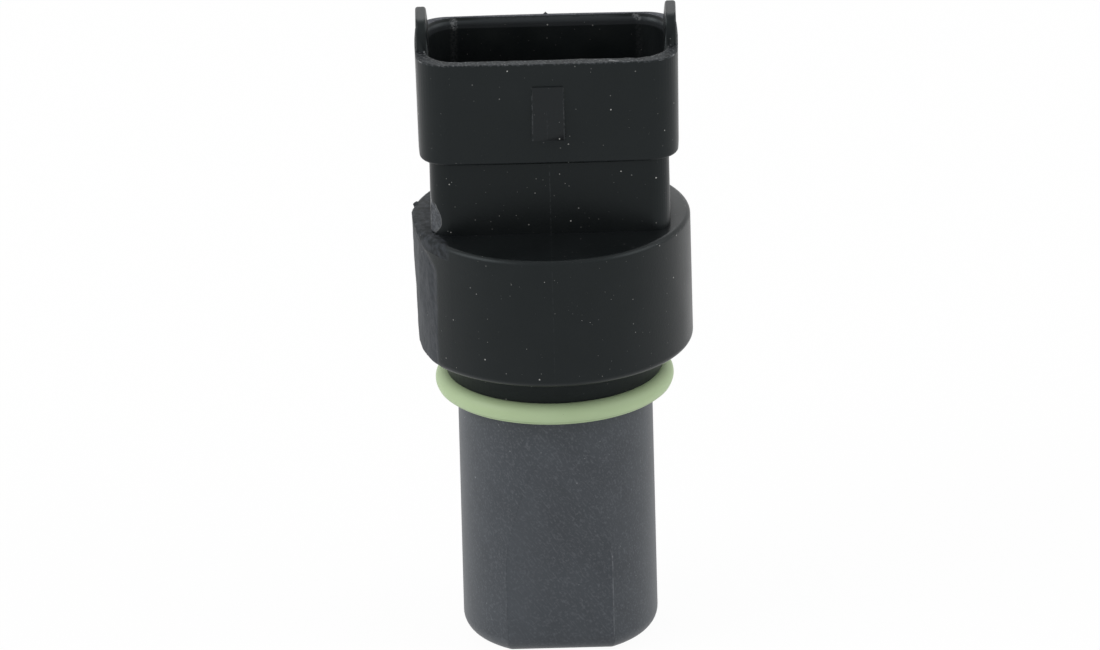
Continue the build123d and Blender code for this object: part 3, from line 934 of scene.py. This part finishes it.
def softbox(name, azimuth, elevation, distance, size, power):
    """A square soft lamp; azimuth 0 is in front of the part, and it grows to the right."""
    made = bpy.data.lights.new(name, "AREA")
    made.shape = "SQUARE"
    made.size = size
    made.energy = power
    turn, rise = math.radians(azimuth), math.radians(elevation)
    target = Vector((0, 0, 0.03))
    way = Vector((math.sin(turn) * math.cos(rise), -math.cos(turn) * math.cos(rise), math.sin(rise)))
    lamp = bpy.data.objects.new(name, made)
    lamp.matrix_world = look_at(target + way * distance, target)
    bpy.context.scene.collection.objects.link(lamp)


def shows_white(tree, camera_share):
    """How far a ray meets plain white: fully if mirrored or refracted, by a share from the camera."""
    path = add(tree, "ShaderNodeLightPath").outputs
    shown = calc(tree, "MULTIPLY", path["Is Camera Ray"], camera_share)
    for way in ("Is Glossy Ray", "Is Transmission Ray"):
        shown = calc(tree, "MAXIMUM", shown, path[way])
    return shown


def floor():
    """A pale studio floor that shows white to the camera, apart from the part's soft shadow."""
    body = bmesh.new()
    bmesh.ops.create_circle(body, cap_ends=True, segments=96, radius=6.0)
    mesh = bpy.data.meshes.new("floor")
    body.to_mesh(mesh)
    body.free()
    made = bpy.data.objects.new("floor", mesh)
    bpy.context.scene.collection.objects.link(made)
    finish = bpy.data.materials.new("pale floor")
    finish.use_nodes = True
    tree = finish.node_tree
    shader = tree.nodes["Principled BSDF"]
    shader.inputs["Base Color"].default_value = (0.85, 0.85, 0.85, 1)
    shader.inputs["Roughness"].default_value = 0.9
    shader.inputs["Specular IOR Level"].default_value = 0.0
    white = add(tree, "ShaderNodeEmission", Strength=1.0)
    mixed = add(tree, "ShaderNodeMixShader", Fac=shows_white(tree, 0.96))
    tree.links.new(shader.outputs[0], mixed.inputs[1])
    tree.links.new(white.outputs[0], mixed.inputs[2])
    tree.links.new(mixed.outputs[0], tree.nodes["Material Output"].inputs["Surface"])
    dress(made, finish)


def world():
    """Soft even light from all round, with a plain white backdrop."""
    made = bpy.data.worlds.new("studio")
    bpy.context.scene.world = made
    made.use_nodes = True
    tree = made.node_tree
    plain = tree.nodes["Background"]
    plain.inputs["Color"].default_value = (1, 1, 1, 1)
    plain.inputs["Strength"].default_value = 0.45
    white = add(tree, "ShaderNodeBackground", Color=(1, 1, 1, 1), Strength=1.0)
    mixed = add(tree, "ShaderNodeMixShader", Fac=shows_white(tree, 1.0))
    tree.links.new(plain.outputs[0], mixed.inputs[1])
    tree.links.new(white.outputs[0], mixed.inputs[2])
    tree.links.new(mixed.outputs[0], tree.nodes["World Output"].inputs["Surface"])


slots = finishes()
for part in frame["record"]["subparts"]:
    dress(nodes[part["node"]], slots[part["material_slot"]])
dress(housing(), slots["black_moulding"])
dress(seal(), slots["green_rubber"])

camera()
floor()
world()
for lamp in softboxes:
    softbox(*lamp)
bpy.context.scene.view_settings.view_transform = "Standard"
